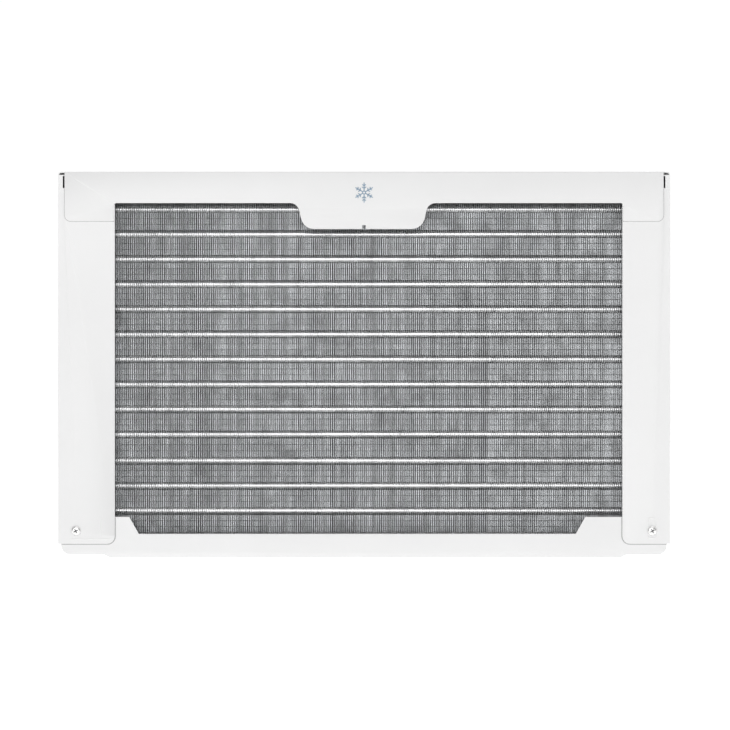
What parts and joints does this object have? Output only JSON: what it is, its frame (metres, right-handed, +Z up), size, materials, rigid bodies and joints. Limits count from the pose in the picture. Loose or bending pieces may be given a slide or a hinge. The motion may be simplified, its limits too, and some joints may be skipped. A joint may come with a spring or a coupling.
{
  "type": "window air conditioner",
  "caption": "Window air conditioner: white sheet-steel cabinet framing a bare finned condenser at the rear, louvered outlet, hinged intake grille and push-button control fascia in front.",
  "frame": {"origin": "under the middle of the base pan, at the surface that it rests on", "axes": "+Z up, +Y towards the outdoor rear with the condenser coil, -Y towards the room, +X to the right seen from the room"},
  "size_m": [0.6, 0.565, 0.378],
  "materials": {
    "cabinet_paint": "white powder coat, semi-gloss",
    "fins": "mill finish fin stock",
    "tube_circuit": "bright tube and collars",
    "galvanised": "galvanised sheet",
    "copper_pipe": "drawn copper pipe, lightly oxidised",
    "panel_plastic": "fine-textured white moulding",
    "fascia_plastic": "light grey moulding",
    "lens": "smoked gloss",
    "button_plastic": "white key caps",
    "filter_frame": "grey moulding",
    "dark_plastic": "black moulding",
    "compressor_paint": "black enamel",
    "rubber": "matt",
    "screw_steel": "white-zinc plated",
    "shaft_steel": "ground",
    "board": "solder mask",
    "capacitor_can": "drawn can"
  },
  "bodies": {
    "chassis": {"cabinet_wrap": "cabinet_paint", "base_pan": "cabinet_paint", "rear_screw_left": "screw_steel", "rear_screw_right": "screw_steel", "condenser_fins": "fins", "evaporator_fins": "fins", "condenser_tubes": "tube_circuit", "evaporator_tubes": "tube_circuit", "bulkhead": "galvanised", "condenser_tube_sheet_left": "galvanised", "condenser_tube_sheet_right": "galvanised", "evaporator_tube_sheet_left": "galvanised", "evaporator_tube_sheet_right": "galvanised", "fan_motor": "galvanised", "motor_bracket": "galvanised", "control_box": "galvanised", "suction_pipe": "copper_pipe", "discharge_pipe": "copper_pipe", "filter_drier": "copper_pipe", "capillary_tube": "copper_pipe", "front_panel": "panel_plastic", "blower_scroll": "panel_plastic", "control_fascia": "fascia_plastic", "display_lens": "lens", "fan_shroud": "dark_plastic", "evaporator_tray": "dark_plastic", "room_sensor": "dark_plastic", "compressor": "compressor_paint", "accumulator": "compressor_paint", "compressor_grommet_1": "rubber", "compressor_grommet_2": "rubber", "compressor_grommet_3": "rubber", "cord_gland": "rubber", "control_board": "board", "capacitor": "capacitor_can"},
    "rotor": {"motor_shaft": "shaft_steel", "condenser_fan": "dark_plastic", "blower_wheel": "dark_plastic"},
    "louver_bottom": {"louver_bottom": "panel_plastic"},
    "louver_middle": {"louver_middle": "panel_plastic"},
    "louver_top": {"louver_top": "panel_plastic"},
    "louver_link": {"louver_link": "panel_plastic"},
    "deflector_1": {"deflector_1": "panel_plastic"},
    "deflector_2": {"deflector_2": "panel_plastic"},
    "deflector_3": {"deflector_3": "panel_plastic"},
    "deflector_4": {"deflector_4": "panel_plastic"},
    "deflector_5": {"deflector_5": "panel_plastic"},
    "deflector_6": {"deflector_6": "panel_plastic"},
    "deflector_link": {"deflector_link": "panel_plastic"},
    "vent_lever": {"vent_lever": "panel_plastic"},
    "vent_door": {"vent_door": "panel_plastic"},
    "intake_grille": {"intake_grille": "panel_plastic"},
    "air_filter": {"air_filter": "filter_frame"},
    "button_power": {"button_power": "button_plastic"},
    "button_timer": {"button_timer": "button_plastic"},
    "button_mode": {"button_mode": "button_plastic"},
    "button_temp_down": {"button_temp_down": "button_plastic"},
    "button_fan_speed": {"button_fan_speed": "button_plastic"},
    "button_temp_up": {"button_temp_up": "button_plastic"}
  },
  "joints": [
    {"name": "fan_spin", "type": "hinge", "parent": "chassis", "child": "rotor", "pos_m": [-0.035, 0, 0.18], "axis": [0, 1, 0], "continuous": true},
    {"name": "louver_bottom_tilt", "type": "hinge", "parent": "chassis", "child": "louver_bottom", "pos_m": [0, -0.262, 0.305], "axis": [1, 0, 0], "range_deg": [-25, 25]},
    {"name": "louver_middle_tilt", "type": "hinge", "parent": "chassis", "child": "louver_middle", "pos_m": [0, -0.262, 0.327], "axis": [1, 0, 0], "range_deg": [-25, 25]},
    {"name": "louver_top_tilt", "type": "hinge", "parent": "chassis", "child": "louver_top", "pos_m": [0, -0.262, 0.349], "axis": [1, 0, 0], "range_deg": [-25, 25]},
    {"name": "louver_link_pin", "type": "hinge", "parent": "louver_middle", "child": "louver_link", "pos_m": [0.12, -0.2535, 0.327], "axis": [1, 0, 0], "range_deg": [-25, 25]},
    {"name": "deflector_1_swing", "type": "hinge", "parent": "chassis", "child": "deflector_1", "pos_m": [-0.235, -0.234, 0.327], "axis": [0, 0, 1], "range_deg": [-30, 30]},
    {"name": "deflector_2_swing", "type": "hinge", "parent": "chassis", "child": "deflector_2", "pos_m": [-0.171, -0.234, 0.327], "axis": [0, 0, 1], "range_deg": [-30, 30]},
    {"name": "deflector_3_swing", "type": "hinge", "parent": "chassis", "child": "deflector_3", "pos_m": [-0.107, -0.234, 0.327], "axis": [0, 0, 1], "range_deg": [-30, 30]},
    {"name": "deflector_4_swing", "type": "hinge", "parent": "chassis", "child": "deflector_4", "pos_m": [-0.043, -0.234, 0.327], "axis": [0, 0, 1], "range_deg": [-30, 30]},
    {"name": "deflector_5_swing", "type": "hinge", "parent": "chassis", "child": "deflector_5", "pos_m": [0.021, -0.234, 0.327], "axis": [0, 0, 1], "range_deg": [-30, 30]},
    {"name": "deflector_6_swing", "type": "hinge", "parent": "chassis", "child": "deflector_6", "pos_m": [0.085, -0.234, 0.327], "axis": [0, 0, 1], "range_deg": [-30, 30]},
    {"name": "deflector_link_pin", "type": "hinge", "parent": "deflector_1", "child": "deflector_link", "pos_m": [-0.235, -0.2255, 0.297], "axis": [0, 0, 1], "range_deg": [-30, 30]},
    {"name": "vent_pull", "type": "slide", "parent": "chassis", "child": "vent_lever", "axis": [0, -1, 0], "range_m": [0, 0.02]},
    {"name": "vent_door_hinge", "type": "hinge", "parent": "chassis", "child": "vent_door", "pos_m": [0.161, -0.04605, 0.354], "axis": [-1, 0, 0], "range_deg": [0, 43]},
    {"name": "grille_hinge", "type": "hinge", "parent": "chassis", "child": "intake_grille", "pos_m": [0, -0.2775, 0.2735], "axis": [-1, 0, 0], "range_deg": [0, 80]},
    {"name": "filter_slide", "type": "slide", "parent": "chassis", "child": "air_filter", "axis": [-1, 0, 0], "range_m": [0, 0.4]},
    {"name": "power_press", "type": "slide", "parent": "chassis", "child": "button_power", "axis": [0, 1, 0], "range_m": [0, 0.001], "stiffness_N_per_m": 800},
    {"name": "timer_press", "type": "slide", "parent": "chassis", "child": "button_timer", "axis": [0, 1, 0], "range_m": [0, 0.001], "stiffness_N_per_m": 800},
    {"name": "mode_press", "type": "slide", "parent": "chassis", "child": "button_mode", "axis": [0, 1, 0], "range_m": [0, 0.001], "stiffness_N_per_m": 800},
    {"name": "temp_down_press", "type": "slide", "parent": "chassis", "child": "button_temp_down", "axis": [0, 1, 0], "range_m": [0, 0.001], "stiffness_N_per_m": 800},
    {"name": "fan_speed_press", "type": "slide", "parent": "chassis", "child": "button_fan_speed", "axis": [0, 1, 0], "range_m": [0, 0.001], "stiffness_N_per_m": 800},
    {"name": "temp_up_press", "type": "slide", "parent": "chassis", "child": "button_temp_up", "axis": [0, 1, 0], "range_m": [0, 0.001], "stiffness_N_per_m": 800}
  ],
  "couplings": [
    {"joint": "louver_top_tilt", "follows": "louver_middle_tilt", "ratio": 1},
    {"joint": "louver_bottom_tilt", "follows": "louver_middle_tilt", "ratio": 1},
    {"joint": "louver_link_pin", "follows": "louver_middle_tilt", "ratio": -1},
    {"joint": "deflector_2_swing", "follows": "deflector_1_swing", "ratio": 1},
    {"joint": "deflector_3_swing", "follows": "deflector_1_swing", "ratio": 1},
    {"joint": "deflector_4_swing", "follows": "deflector_1_swing", "ratio": 1},
    {"joint": "deflector_5_swing", "follows": "deflector_1_swing", "ratio": 1},
    {"joint": "deflector_6_swing", "follows": "deflector_1_swing", "ratio": 1},
    {"joint": "deflector_link_pin", "follows": "deflector_1_swing", "ratio": -1},
    {"joint": "vent_door_hinge", "follows": "vent_pull", "rad_per_m": 37}
  ]
}
